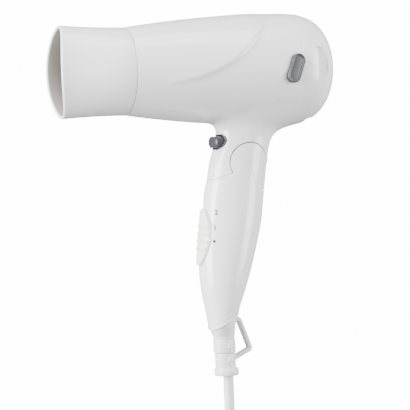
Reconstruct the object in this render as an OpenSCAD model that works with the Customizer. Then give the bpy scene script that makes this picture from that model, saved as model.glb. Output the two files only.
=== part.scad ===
// Folding-handle hair dryer, held upright. +Z is up, the air outlet faces -X.
// The origin is the middle of the grip. All sizes are in millimetres.

/* [Barrel] */
// Height of the air axis above the middle of the grip
axis_z = 116.5; // [116:0.5:117]
// Largest radius of the barrel
barrel_r = 38; // [37.5:0.5:38.5]
// Radius where the barrel meets the nozzle
mouth_r = 29.2; // [29:0.1:29.6]
// Wall thickness of the casings
wall = 2.2; // [1.8:0.1:2.4]

/* [Nozzle] */
// Half height of the nozzle's outlet
outlet_half_h = 31; // [30:0.2:33]
// Half width of the nozzle's outlet
outlet_half_w = 20; // [17:0.5:24]
// Length of the nozzle ahead of the barrel
nozzle_l = 47.8; // [44:0.2:52]

/* [Hinge] */
// Radius of the round knuckle at the top of the handle
knuckle_r = 13.6; // [13:0.1:14]
// Running gap round the knuckle
knuckle_gap = 0.4; // [0.3:0.1:0.6]
// Half width of the tongue between the handle's ears
tongue_half = 10.9; // [10.6:0.1:11]
// Radius of the hinge pin
pin_r = 3; // [2.5:0.5:3.5]

/* [Switch] */
// Travel of the slide switch, off to high
slide_travel = 14; // [10:1:14]
// Travel of the cool-shot button
button_travel = 2; // [1:0.5:2.5]

/* [Fan] */
// Number of impeller blades
fan_blades = 7; // [5:1:9]
// Tip radius of the impeller
fan_r = 28.8; // [27:0.2:29.2]

/* [Cord] */
// Diameter of the mains cord
cord_d = 7; // [6:0.5:7]
// Length of a straight run in the tied hank
hank_run = 130; // [105:5:140]
// Number of strands that lie side by side in the hank
hank_strands = 5; // [4:1:6]

/* [Hidden] */

eps = 0.01;
round_fn = 96;
ring_sides = 28;
bite = 60;             // longer than any wall, for cutting tools

// barrel stations along X
mouth_x = -70;
widest_x = 40.5;
barrel_end_x = 74.8;
grille_x = 68.5;
dome_power = 2.8;
dome_l = barrel_end_x - widest_x;

// hinge
hinge_x = 11.4;
hinge_z = 53;
ear_gap = 0.3;
slot_bottom_z = 34.5;
tail_gap = 0.3;
slot_r = 24;

// parts on the air axis
sleeve_l = 9;
sleeve_fit = 0.08;
mouth_bore_r = 26;
shield_r = 26.6;
duct_r = 30;
duct_wall = 1.5;
motor_r = 14;
shaft_r = 1;
shaft_fit = 0.06;
duct_end_x = 59;
grille_ring_r = 24.92;
opening_r = 25;

// slide switch: the knob runs on a straight, slightly leaning track
track_lean = 6.8;
track_foot = [-21.5, -14.5];
knob_l = 38;
knob_half_w = 10.2;
stem_half_w = 2.5;

// handle sections: height, centre x, half depth, half width
GRIP = [[-62, -8.5, 7.4, 10], [-56, -8.1, 8.8, 11], [-44, -7, 11.8, 13], [-26, -5, 16.6, 15.4],
    [-8, -2.3, 19.5, 16.6], [12, 1.1, 21.4, 17], [27, 3.4, 21.4, 16.6], [43, 6.5, 20.5, 15.9],
    [56, 8.9, 20.2, 15.5], [68, 11.8, 19.8, 15.4]];
// neck sections, from the hinge up into the barrel
NECK = [[30, 3.9, 21.2, 16.5], [43, 6.5, 20.5, 15.9], [56, 8.9, 20.2, 15.5], [66, 11.8, 19.4, 15.4],
    [72, 14.3, 20.3, 15.8], [77, 17, 23.6, 17], [81, 20, 29.5, 19], [86, 22, 34, 22], [94, 22, 35, 24]];
// seam between the front and rear casings, as seen from the side
HEAD_SEAM = [[57, 170], [51.6, 152], [47.3, 140.6], [44.6, 133.5], [41.6, 125.3], [37.4, 114.6],
    [33.3, 105.2], [28.2, 94.5], [23.6, 88.4], [18.6, 82.6], [14.3, 75.7], [12.6, 69.6], [11.5, 62.5], [11.4, 20]];
HANDLE_SEAM = [[11.4, 90], [11.5, 54], [13.5, 43.8], [16.2, 32.5], [18.2, 21], [20.6, 8], [26, -4]];
// lower edge of the neck ahead of the hinge
STOP_EDGE = [[-40, 43], [-14, 43], [-8, 44.2], [-3, 46], [1, 48.2]];
// slanting bottom of the handle
foot_tilt = 26;
foot_point = [-7, -51.5];
collar_h = 2.8;

// where the cord leaves the boot, and its straight drop
cord_x = -4.5;
exit_z = -90;
hank_top_z = -124;
cord_r = cord_d / 2;
hank_bend_r = 3 * cord_d;
hank_bottom_z = hank_top_z - hank_run - 2 * (hank_bend_r + cord_r);
hank_x = cord_x + hank_bend_r;
hank_low_z = hank_top_z - hank_bend_r - cord_r - hank_run;
tail_y = (hank_strands - 1) * cord_d;
plug_z = hank_low_z - 43;
LEAD = [[cord_x, 0, exit_z], [cord_x, 0, -110], [cord_x, 0, -130], [cord_x, 0, -148]];
TAIL = [[cord_x, tail_y, hank_low_z], [cord_x, tail_y, hank_low_z - 22], [cord_x, tail_y, plug_z]];

// ---- helpers ---------------------------------------------------------------------------

module along_x() { translate([0, 0, axis_z]) rotate([0, 90, 0]) children(); }

// a tube round the air axis, from x0 to x1
module tube(x0, x1, outer, inner) {
    translate([x0, 0, 0]) along_x() difference() {
        cylinder(h = x1 - x0, r = outer, $fn = round_fn);
        translate([0, 0, -1]) cylinder(h = x1 - x0 + 2, r = inner, $fn = round_fn);
    }
}

module rod(x0, x1, r) { translate([x0, 0, 0]) along_x() cylinder(h = x1 - x0, r = r, $fn = round_fn); }

// a side outline in X and Z, drawn right through the part along Y
module side_cut(outline, half = bite) {
    rotate([90, 0, 0]) translate([0, 0, -half]) linear_extrude(height = 2 * half) polygon(outline);
}

module round_y(r, half, y = 0) {
    translate([hinge_x, y + half, hinge_z]) rotate([90, 0, 0]) cylinder(h = 2 * half, r = r, $fn = round_fn);
}

function oval(s, inset) = [for (i = [0 : ring_sides - 1]) let (a = 360 * i / ring_sides)
    [s[1] + (s[2] - inset) * cos(a), (s[3] - inset) * sin(a), s[0]]];

// a Catmull-Rom point between stations i and i + 1
function station(list, i) = list[min(max(i, 0), len(list) - 1)];
function between(list, i, t) =
    let (a = station(list, i - 1), b = station(list, i), c = station(list, i + 1), d = station(list, i + 2))
    0.5 * (2 * b + t * (c - a) + t * t * (2 * a - 5 * b + 4 * c - d) + t * t * t * (3 * b - 3 * c + d - a));
function smooth(list, steps) = [for (i = [0 : len(list) - 2]) for (k = [0 : steps - 1])
    between(list, i, k / steps), list[len(list) - 1]];

// a closed skin over a stack of rings that all have the same number of points
module skin(rings) {
    n = len(rings[0]);
    m = len(rings);
    sides = [for (j = [0 : m - 2]) for (i = [0 : n - 1]) let (k = (i + 1) % n)
        [j * n + i, (j + 1) * n + i, (j + 1) * n + k, j * n + k]];
    halves = [for (f = sides) each [[f[0], f[1], f[2]], [f[0], f[2], f[3]]]];
    foot = [[for (i = [0 : n - 1]) i]];
    head = [[for (i = [n - 1 : -1 : 0]) (m - 1) * n + i]];
    polyhedron(points = [for (r = rings) each r], faces = concat(halves, foot, head), convexity = 4);
}

module body_of(list, inset, steps = 2) { skin([for (s = smooth(list, steps)) oval(s, inset)]); }

// the barrel's outline: a flared cone, then a full round dome
function cone_r(x) = let (t = (x - mouth_x) / (widest_x - mouth_x))
    mouth_r + (barrel_r - mouth_r) * (1 - pow(1 - t, 1.9));
function dome_r(x, inset) = let (t = (x - widest_x) / (dome_l - inset))
    (barrel_r - inset) * pow(max(0, 1 - pow(t, dome_power)), 1 / dome_power);
function barrel_outline(inset, x1) = concat(
    [[0, mouth_x]],
    [for (x = [mouth_x : 9 : widest_x - 1]) [cone_r(x) - inset, x]],
    [for (x = [widest_x : 3 : x1 - 0.5]) [dome_r(x, inset), x]],
    [[dome_r(x1, inset), x1], [0, x1]]);

module barrel_solid(inset, x1) {
    along_x() rotate_extrude($fn = round_fn) polygon(barrel_outline(inset, x1));
}

// side oblong caps
cap_l = 20;
cap_w = 9.4;
cap_lean = 20;
cap_floor_y = 36;
cap_face_y = 39.6;
cap_pos = [37.4, 114.6];
module oblong(grow, y0, y1) {
    r = cap_w / 2 + grow;
    reach = cap_l / 2 - cap_w / 2;
    translate([cap_pos[0], -y0, cap_pos[1]]) rotate([90, cap_lean, 0]) {
        for (s = [-1, 1]) translate([0, s * reach, 0]) cylinder(h = y1 - y0, r = r, $fn = 48);
        translate([-r, -reach, 0]) cube([2 * r, 2 * reach, y1 - y0]);
    }
}
module both_sides() { children(); mirror([0, 1, 0]) children(); }

// ---- head casings ----------------------------------------------------------------------

module head_outer() {
    union() {
        barrel_solid(0, grille_x);
        body_of(NECK, 0);
    }
}

module head_inner() {
    difference() {
        barrel_solid(wall, grille_x + 3);
        tube(mouth_x - 1, mouth_x + 10, barrel_r, mouth_bore_r);
        tube(52, grille_x + 4, barrel_r, duct_r + duct_wall + 0.2);
        tube(duct_end_x, grille_x + 4, barrel_r, 28.5);
        tube(grille_x - 4, grille_x + 4, barrel_r, opening_r);
    }
    rod(mouth_x - 1, mouth_x + 12, mouth_bore_r);
    rod(grille_x - 6, grille_x + 4, opening_r);
    difference() {
        intersection() {
            body_of(NECK, wall);
            translate([-bite, -bite, 46]) cube([2 * bite, 2 * bite, 47]);
        }
        round_y(knuckle_r + knuckle_gap + 2, bite);
        neck_boss();
    }
}

// what the neck leaves free for the handle: everything under the stop edge and the knuckle
module handle_side(gap) {
    side_cut(concat([[-40, -80]], [for (p = STOP_EDGE) [p[0], p[1] + gap]],
        [[hinge_x, hinge_z], [60, hinge_z], [60, -80]]));
    round_y(knuckle_r + gap, bite);
}

// the round tongue that the hinge pin goes through, and the tail that closes the slot behind it
module tongue() {
    difference() {
        union() {
            round_y(12.6, tongue_half);
            intersection() {
                body_of(NECK, wall - 0.4);
                translate([hinge_x - 12.6, -tongue_half, hinge_z]) cube([26, 2 * tongue_half, 10.8]);
            }
        }
        round_y(pin_r + shaft_fit, bite);
        for (y = [-6, 6]) translate([5, y, 60]) cylinder(h = 40, r = 2.6, $fn = 32);
        for (y = [-6, 6]) translate([4.8, y, 38]) cylinder(h = 40, r = 2.6, $fn = 32);
    }
}

module tail() {
    difference() {
        intersection() {
            body_of(NECK, 0);
            translate([hinge_x, -tongue_half, slot_bottom_z + tail_gap])
                cube([40, 2 * tongue_half, 32]);
        }
        body_of(NECK, wall);
    }
}

module head_shell() {
    difference() {
        union() {
            head_outer();
            both_sides() intersection() {
                oblong(1.6, 32, 37.4);
                barrel_solid(0.2, grille_x);
            }
        }
        difference() {
            head_inner();
            both_sides() oblong(1.6, 32, cap_face_y);
        }
        both_sides() oblong(0.15, cap_floor_y, 45);
        handle_side(knuckle_gap);
        finger_notches();
    }
}

// flat finger notches round the shoulder, ahead of the rear grille
module finger_notches() {
    for (q = [0 : 3]) translate([54.2, 0, axis_z]) rotate([90 * q, 0, 0])
        translate([0, 33, -12.6]) cube([8.4, 10, 25.2]);
}

module front_region() {
    side_cut(concat([[-140, 20], [-140, 170]], HEAD_SEAM));
}

module front_housing() {
    color("white") difference() {
        union() {
            intersection() { head_shell(); front_region(); }
            intersection() { tongue(); front_region(); }
        }
        button_hole(0);
        translate([0, -6, button_z - 3.2]) cube([10.7, 12, 10]);
        neck_screw_tool(1.3);
    }
}

module rear_housing() {
    color("whitesmoke") difference() {
        union() {
            difference() { head_shell(); front_region(); }
            difference() { tongue(); front_region(); }
            difference() { tail(); front_region(); }
        }
        neck_screw_tool(1.5);
        neck_screw_head(3.1);
    }
}

module side_cap() {
    difference() {
        oblong(0, cap_floor_y, cap_face_y);
        translate([0, -cap_face_y + 0.5, 0]) oblong(-1.4, 0, 2);
    }
}
module side_cap_left() { color("dimgray") mirror([0, 1, 0]) side_cap(); }
module side_cap_right() { color("dimgray") side_cap(); }

// the screw that holds the two casings together at the neck, with its boss and rib
neck_screw_z = 69;
neck_head_x = 30.2;
module neck_rod(x0, x1, r) { translate([x0, 0, neck_screw_z]) rotate([0, 90, 0]) cylinder(h = x1 - x0, r = r, $fn = 32); }
module neck_boss() {
    neck_rod(12, 34, 3.7);
    translate([12, -1.5, 62]) cube([20, 3, 6]);
}
module neck_screw_tool(r) { neck_rod(12, 40, r); }
module neck_screw_head(r) { neck_rod(neck_head_x, 50, r); }
module neck_screw() {
    color("silver") difference() {
        union() {
            neck_rod(neck_head_x, neck_head_x + 1.7, 2.7);
            neck_rod(12.5, neck_head_x, 1.3);
        }
        for (a = [0, 90]) translate([neck_head_x + 1.4, 0, neck_screw_z]) rotate([a, 0, 0]) cube([1.6, 0.7, 3.2], center = true);
    }
}

// ---- nozzle ----------------------------------------------------------------------------

function nozzle_ring(x, inset, fn) =
    let (t = (mouth_x - x) / nozzle_l,
        half_w = mouth_r + (outlet_half_w - mouth_r) * t * t * (3 - 2 * t),
        half_h = mouth_r + (outlet_half_h - mouth_r) * t - 0.6 * sin(180 * t))
    [for (i = [0 : fn - 1]) let (a = 360 * i / fn)
        [x, -(half_w - inset) * cos(a), axis_z + (half_h - inset) * sin(a)]];
module nozzle_skin(inset, x0, x1) {
    skin([for (k = [0 : 8]) nozzle_ring(x0 + (x1 - x0) * k / 8, inset, 40)]);
}

module nozzle() {
    rim_r = 122;
    front_x = mouth_x - nozzle_l - 1;
    color("white") {
        difference() {
            nozzle_skin(0, mouth_x - 0.3, front_x);
            nozzle_skin(wall - 0.2, mouth_x + 0.4, front_x - 2);
            translate([front_x + 1.4 - 20, 0, 0]) rim_cutter(rim_r);
        }
        tube(mouth_x - 1.2, mouth_x + sleeve_l, mouth_bore_r - sleeve_fit, mouth_bore_r - 1.8);
        tube(mouth_x - 2.6, mouth_x - 0.3, mouth_r - 1.4, mouth_bore_r - 1.8);
    }
}

// the outlet's edge bows forward at mid height
module rim_cutter(r) {
    difference() {
        translate([-20, -40, axis_z - 50]) cube([60, 80, 100]);
        translate([r + 19, 50, axis_z]) rotate([90, 0, 0]) cylinder(h = 100, r = r, $fn = 180);
    }
}

// ---- parts on the air axis -------------------------------------------------------------

module outlet_grille() {
    color("gray") {
        for (r = [10, 18]) tube(-58, -56, r + 0.7, r - 0.7);
        tube(mouth_x + 10, -56, 28.2, 25.6);
        rod(-58, -56, 3.2);
        for (a = [0 : 60 : 300]) translate([-57.7, 0, axis_z]) rotate([a, 0, 0])
            translate([0, -0.7, 2]) cube([1.4, 1.4, 24.6]);
    }
}

module heat_shield() { color("tan") tube(-56, -2, 27.2, shield_r); }

module mica_frame() {
    color("burlywood") for (a = [0, 90]) translate([-53, 0, axis_z]) rotate([a, 0, 0]) difference() {
        translate([0, -0.6, -shield_r]) cube([46, 1.2, 2 * shield_r]);
        for (s = [-1, 1]) translate([-1, -2, s * 8 - 3]) cube([4, 4, 6]);
    }
}

module heating_coils() {
    color("peru") for (x = [-49 : 5 : -14]) {
        translate([x, 0, 0]) along_x() rotate_extrude($fn = 64) translate([22, 0]) circle(r = 0.8, $fn = 16);
        translate([x + 2.5, 0, 0]) along_x() rotate_extrude($fn = 48) translate([14, 0]) circle(r = 0.8, $fn = 16);
    }
}

module thermostat() {
    color("silver") {
        translate([-12, 2, axis_z + 0.6]) cube([4, 7, 8]);
        translate([-15, 3, axis_z + 3]) cube([3, 5, 1.2]);
    }
}
module thermal_fuse() {
    color("lightgray") translate([-12, -7, axis_z - 2.6]) rotate([0, 90, 0]) {
        cylinder(h = 6, r = 2, $fn = 32);
        translate([0, 0, -3]) cylinder(h = 12, r = 0.5, $fn = 24);
    }
}

module fan_duct() {
    color("black") {
        tube(-2, duct_end_x, duct_r + duct_wall, duct_r);
        tube(-2, 0, duct_r + 1, shield_r);
        tube(3, 36, motor_r + 1.4, motor_r);
        for (a = [0 : 360 / 7 : 359]) translate([6, 0, axis_z]) rotate([a, 0, 0])
            translate([0, 0, motor_r + 1]) rotate([0, 0, 18]) translate([0, -0.6, 0]) cube([24, 1.2, duct_r - motor_r - 0.6]);
    }
}

module motor() {
    color("silver") difference() {
        union() {
            rod(4, 35, motor_r);
            rod(35, 37, 4);
            rod(2, 4, 4);
        }
        rod(1, 40, shaft_r + shaft_fit);
    }
}
module motor_terminals() {
    color("gold") for (s = [-1, 1]) translate([0, s * 9 - 1.2, axis_z - 0.3]) cube([4, 2.4, 0.6]);
}
module motor_shaft() { color("silver") rod(3, 52, shaft_r); }

module impeller() {
    color("darkslategray") {
        difference() {
            union() {
                rod(40, 51, 9);
                for (k = [0 : fan_blades - 1]) translate([45.5, 0, axis_z]) rotate([360 * k / fan_blades, 0, 0])
                    rotate([0, 0, 38]) translate([-6, -0.6, 8]) cube([12, 1.2, fan_r - 9]);
            }
            rod(39, 60, shaft_r);
            rod(47, 60, 7.5);
        }
        difference() { rod(46, 51, 2.6); rod(39, 60, shaft_r); }
    }
}

module rear_grille() {
    slots = 28;
    color("whitesmoke") difference() {
        union() {
            difference() {
                intersection() {
                    barrel_solid(0, barrel_end_x - 0.4);
                    rod(grille_x + 0.3, barrel_end_x + 1, 34);
                }
                barrel_solid(wall, barrel_end_x - 2.6);
            }
            tube(grille_x - 3.5, grille_x + 1.2, grille_ring_r, 22.6);
        }
        for (k = [0 : slots - 1]) translate([0, 0, axis_z]) rotate([360 * k / slots, 0, 0])
            translate([66, -0.8, 11]) cube([14, 1.6, 10.6]);
        for (k = [0 : 11]) translate([68, 0, axis_z]) rotate([30 * k, 0, 0]) translate([0, -0.7, 4.5]) cube([12, 1.4, 4.8]);
    }
}

module intake_filter() {
    color("dimgray") {
        tube(grille_x - 3.4, grille_x - 1.8, 22.6, 20.6);
        intersection() {
            rod(grille_x - 2.9, grille_x - 2.3, 21);
            union() {
                for (y = [-18 : 6 : 18]) {
                    translate([grille_x - 4, y - 0.4, axis_z - 30]) cube([4, 0.8, 60]);
                    translate([grille_x - 4, -30, axis_z + y - 0.4]) cube([4, 60, 0.8]);
                }
            }
        }
    }
}

// ---- cool-shot button in the front of the neck -----------------------------------------

button_z = 68;
button_half_w = 8.2;
button_half_h = 4;
bezel_rim = 1.1;
button_front_x = -11;
module button_outline(grow) {
    r = button_half_h + grow;
    reach = button_half_w - button_half_h;
    for (s = [-1, 1]) translate([0, s * reach]) circle(r = r, $fn = 48);
    translate([-r, -reach]) square([2 * r, 2 * reach]);
}
// the outline pushed along +X, from x0 to x1
module button_prism(grow, x0, x1) {
    translate([x0, 0, button_z]) rotate([0, 90, 0]) linear_extrude(height = x1 - x0) button_outline(grow);
}
module button_hole(gap) { button_prism(0.3 + bezel_rim + gap, -30, 1); }

module button_bezel() {
    color("dimgray") difference() {
        intersection() {
            button_prism(0.3 + bezel_rim, -30, 0.5);
            body_of(NECK, -0.7);
        }
        button_prism(0.3, -40, 10);
    }
}
module cool_button() {
    color("dimgray") {
        button_prism(0, button_front_x, -2.2);
        translate([-2.4, 0, button_z]) rotate([0, 90, 0]) cylinder(h = 2.6, r = 1.6, $fn = 32);
    }
}
module button_spring() {
    color("silver") for (k = [0 : 3]) translate([-1.9 + 1.33 * k, 0, button_z]) rotate([0, 90, 0])
        rotate_extrude($fn = 48) translate([2.6, 0]) circle(r = 0.3, $fn = 16);
}
module cool_microswitch() {
    color("black") translate([2.4, -6, button_z - 3.2]) cube([6, 12, 6.4]);
    color("gold") for (y = [-4, 4]) translate([8.4, y - 1, button_z - 0.4]) cube([2.2, 2, 0.8]);
}
module neck_wires() {
    color("firebrick") for (y = [-9.5, 9.5]) translate([13, y, 73]) cylinder(h = 11, r = 1.1, $fn = 24);
}

// ---- handle ----------------------------------------------------------------------------

module foot_plane(drop) {
    translate([foot_point[0], -bite, foot_point[1] - drop]) rotate([0, -foot_tilt, 0])
        translate([-bite, 0, -2 * bite]) cube([2 * bite, 2 * bite, 2 * bite]);
}

module track_frame() {
    translate([track_foot[0], 0, track_foot[1]]) rotate([0, track_lean, 0]) children();
}
// a slice of the track's oval cross section, from z0 to z1 along it
module track_oval(grow, z0, z1) {
    depth = 20.5;
    half_w = 15.6;
    track_frame() translate([depth + 0.3, 0, z0]) linear_extrude(height = z1 - z0)
        polygon([for (i = [0 : 71]) [(depth + grow) * cos(5 * i), (half_w + grow) * sin(5 * i)]]);
}
// the knob's lens outline seen from the front, swept from z0 to z1 along the track
module lens(grow, lift) {
    blunt = 6;
    half = knob_half_w + grow;
    arc = [for (k = [0 : 12]) let (t = k / 12) [half * pow(sin(180 * (0.08 + 0.84 * t)), 0.8), knob_l * t]];
    track_frame() translate([-12, 0, lift]) rotate([90, 0, 90]) linear_extrude(height = 26)
        polygon(concat([for (p = arc) [p[0], p[1] + (p[1] > knob_l / 2 ? grow : -grow)]],
            [for (k = [12 : -1 : 0]) [-arc[k][0], arc[k][1] + (arc[k][1] > knob_l / 2 ? grow : -grow)]]));
}
module knob_channel() {
    intersection() {
        union() { lens(0.3, 0); lens(0.3, slide_travel / 2); lens(0.3, slide_travel); }
        difference() { track_oval(14, -8, 62); track_oval(0, -10, 64); }
    }
}
module stem_slot() {
    track_frame() translate([-3, -stem_half_w - 0.2, 8]) cube([12, 2 * stem_half_w + 0.4, 6.8 + slide_travel]);
}

module handle_solid(inset) {
    intersection() {
        body_of(GRIP, inset);
        handle_side(0);
    }
}

module hinge_slot() {
    round_y(slot_r, tongue_half + ear_gap);
    translate([hinge_x, -tongue_half - ear_gap, slot_bottom_z])
        cube([40, 2 * (tongue_half + ear_gap), 60]);
}

module handle_shell() {
    difference() {
        union() {
            difference() {
                handle_solid(0);
                intersection() {
                    body_of(GRIP, wall);
                    translate([-bite, -bite, -bite]) cube([2 * bite, 2 * bite, bite + 41]);
                }
            }
            intersection() {
                body_of(GRIP, 1);
                handle_screw_boss();
            }
        }
        hinge_slot();
        round_y(pin_r, 14.2);
        foot_plane(0);
        handle_screw_tool(1.3);
        handle_screw_head(2.9);
    }
}
module rear_region() { side_cut(concat(HANDLE_SEAM, [[60, -4], [60, 90]])); }

module handle_front_shell() {
    color("white") difference() {
        handle_shell();
        rear_region();
        knob_channel();
        stem_slot();
    }
}
module handle_rear_shell() {
    color("whitesmoke") intersection() { handle_shell(); rear_region(); }
}

module handle_screw_boss() { translate([-2, 0, 26]) rotate([0, 90, 0]) cylinder(h = 26, r = 3.6, $fn = 48); }
module handle_screw_tool(r) { translate([-4, 0, 26]) rotate([0, 90, 0]) cylinder(h = 40, r = r, $fn = 32); }
module handle_screw_head(r) { translate([21.2, 0, 26]) rotate([0, 90, 0]) cylinder(h = 20, r = r, $fn = 32); }
module handle_screw() {
    color("silver") difference() {
        union() {
            translate([21.2, 0, 26]) rotate([0, 90, 0]) cylinder(h = 1.8, r = 2.7, $fn = 32);
            translate([5, 0, 26]) rotate([0, 90, 0]) cylinder(h = 16.3, r = 1.3, $fn = 32);
        }
        for (a = [0, 90]) translate([23, 0, 26]) rotate([a, 0, 0]) cube([2, 0.7, 3.2], center = true);
    }
}

module end_collar() {
    color("white") difference() {
        intersection() {
            body_of(GRIP, -0.35);
            foot_plane(0);
        }
        foot_plane(collar_h);
        translate([-8, 0, -80]) cylinder(h = 50, r = 3.7, $fn = 48);
    }
}

module strain_relief() {
    color("white") difference() {
        union() {
            hull() {
                intersection() {
                    body_of(GRIP, 0.5);
                    difference() { foot_plane(collar_h); foot_plane(collar_h + 1); }
                }
                translate([-6.6, 0, -66]) cylinder(h = 1, r = 7, $fn = 32);
            }
            translate([-6.5, 0, -74.5]) cylinder(h = 8.6, r = 7.5, $fn = 64);
            translate([-6.2, 0, -85.2]) cylinder(h = 10.8, r1 = 6.9, r2 = 7.1, $fn = 64);
            translate([-5.7, 0, exit_z]) cylinder(h = 5, r = 8.3, $fn = 64);
        }
        for (z = [-79.2, -76]) translate([-6.2, 0, z]) difference() {
            cylinder(h = 1.2, r = 9, $fn = 64);
            translate([0, 0, -1]) cylinder(h = 4, r = 5.8, $fn = 64);
        }
    }
}

// the hanging loop: a flat bar bent at a knee, from the collar back to the boot
module hang_loop() {
    half_w = 3.2;
    bar = [[0.6, -51.4], [3.4, -49.6], [5.4, -50.3], [13.2, -71.2], [11.8, -74.2], [-0.6, -80.2], [-0.6, -77],
        [9.4, -72], [3, -54.6], [0.6, -54.2]];
    color("white") rotate([90, 0, 0]) translate([0, 0, -half_w]) linear_extrude(height = 2 * half_w) polygon(bar);
}

module hinge_pin() { color("silver") round_y(pin_r, 14.1); }

module switch_block() {
    color("black") track_frame() difference() {
        translate([6, -7, -2]) cube([9, 14, 36]);
        translate([5, -3, 6]) cube([6, 6, 26]);
    }
}
module slide_guide() {
    color("gainsboro") difference() {
        intersection() {
            track_frame() translate([4, -12, 1]) cube([2, 24, 31]);
            body_of(GRIP, wall);
        }
        track_frame() translate([3, -stem_half_w - 0.2, 5]) cube([4, 2 * stem_half_w + 0.4, 25]);
    }
}
module slide_carriage() {
    color("black") track_frame() {
        translate([1.2, -stem_half_w, 8.4]) cube([6.4, 2 * stem_half_w, 6]);
        translate([6.4, -2.8, 7]) cube([3.4, 5.6, 9]);
    }
}
module slide_knob() {
    color("ivory") {
        intersection() {
            lens(0, 0);
            difference() { knob_outer(); track_oval(0.25, -10, 70); }
        }
        track_frame() translate([0, -stem_half_w, 8.4]) cube([1.2, 2 * stem_half_w, 6]);
    }
}
module knob_outer() {
    union() {
        track_oval(3.2, -4, 50);
        for (k = [0 : 3]) track_oval(3.9, 10.4 + 5 * k, 11.9 + 5 * k);
    }
}

module handle_wires() {
    color("brown") for (y = [-3.4, 3.4]) translate([-2, y, -48]) cylinder(h = 26, r = 1.1, $fn = 24);
}
module cord_clamp() {
    color("gainsboro") {
        difference() {
            intersection() {
                translate([-bite, -bite, -44]) cube([2 * bite, 2 * bite, 2.4]);
                body_of(GRIP, wall);
            }
            for (y = [-3.4, 3.4]) translate([-2, y, -50]) cylinder(h = 26, r = 1.1, $fn = 24);
            translate([-9, 0, -50]) cylinder(h = 26, r = 2, $fn = 32);
        }
    }
}

// generic position marks beside the knob: 2, 1 and a dot
module mark_at(x, z) {
    translate([x, -30, z]) rotate([90, 0, 0]) translate([0, 0, -20]) linear_extrude(height = 20) children();
}
module switch_marks() {
    color("dimgray") intersection() {
        difference() { body_of(GRIP, -0.12); body_of(GRIP, 0); }
        translate([-17, -40, 0]) cube([12, 40, 40]);
        union() {
            mark_at(-15.2, 1.6) circle(r = 1, $fn = 24);
            mark_at(-14.3, 10.6) union() { square([0.8, 3.6], center = true);
                translate([-0.6, 0.9]) square([0.8, 0.7], center = true); }
            mark_at(-13, 20.6) polygon([[-1.2, -1.9], [1.2, -1.9], [1.2, -1.3], [-0.3, -1.3], [1.2, 0.3], [1.2, 1.4],
                [0.7, 1.9], [-0.7, 1.9], [-1.2, 1.4], [-1.2, 0.8], [-0.6, 0.8], [-0.5, 1.3], [0.5, 1.3],
                [0.6, 0.5], [-1.2, -1.4]]);
        }
    }
}

// ---- cord, hank and plug ---------------------------------------------------------------

// a tube swept along points that go mostly downwards
function tube_ring(p, r, n) = [for (i = [0 : n - 1]) [p[0] + r * cos(360 * i / n), p[1] + r * sin(360 * i / n), p[2]]];
module cord_tube(route) { skin([for (k = [len(route) - 1 : -1 : 0]) tube_ring(route[k], cord_r, 12)]); }

module cord_lead() { color("white") cord_tube(LEAD); }
module cord_tail() { color("white") cord_tube(TAIL); }
module hank_outline(r) {
    for (k = [0, 1]) translate([hank_x, hank_low_z + k * hank_run]) circle(r = r, $fn = 64);
    translate([hank_x - r, hank_low_z]) square([2 * r, hank_run]);
}
module cord_hank() {
    color("white") rotate([90, 0, 0]) translate([0, 0, -tail_y - cord_r])
        linear_extrude(height = tail_y + cord_d) hank_outline(hank_bend_r + cord_r);
}
module hank_tie() {
    t = 1.6;
    w = hank_bend_r + cord_r;
    z = (hank_top_z + hank_bottom_z) / 2;
    color("black") difference() {
        translate([hank_x - w - t, -cord_r - t, z - 4]) cube([2 * (w + t), tail_y + cord_d + 2 * t, 8]);
        translate([hank_x - w, -cord_r, z - 5]) cube([2 * w, tail_y + cord_d, 10]);
    }
}
plug_l = 36;
module plug_body() {
    color("white") translate([cord_x, tail_y, plug_z - plug_l]) {
        hull() for (s = [-1, 1]) translate([s * 8, 0, 0]) cylinder(h = 9, r = 9.5, $fn = 32);
        hull() {
            for (s = [-1, 1]) translate([s * 6, 0, 8.5]) cylinder(h = 1, r = 8, $fn = 32);
            translate([0, 0, plug_l - 10]) cylinder(h = 1, r = 5.4, $fn = 32);
        }
        translate([0, 0, plug_l - 10]) cylinder(h = 10, r1 = 5.6, r2 = 4.4, $fn = 48);
    }
}
module plug_pins() {
    pin_pitch = 19;
    color("silver") for (s = [-1, 1]) translate([cord_x + s * pin_pitch / 2, tail_y, plug_z - plug_l - 19])
        cylinder(h = 19, r = 2.4, $fn = 48);
}

// ---- drawing ---------------------------------------------------------------------------

handle_front_shell();
handle_rear_shell();
end_collar();
strain_relief();
hang_loop();
hinge_pin();
switch_block();
slide_guide();
handle_wires();
cord_clamp();
handle_screw();
switch_marks();
cord_lead();
cord_hank();
cord_tail();
hank_tie();
plug_body();
plug_pins();
slide_knob();
slide_carriage();
front_housing();
rear_housing();
side_cap_left();
side_cap_right();
button_bezel();
outlet_grille();
heat_shield();
mica_frame();
heating_coils();
thermostat();
thermal_fuse();
fan_duct();
motor();
motor_terminals();
cool_microswitch();
neck_wires();
neck_screw();
cool_button();
button_spring();
impeller();
motor_shaft();
rear_grille();
intake_filter();
nozzle();
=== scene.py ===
import math

import bmesh
import bpy
import numpy as np
from mathutils import Matrix, Vector


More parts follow.
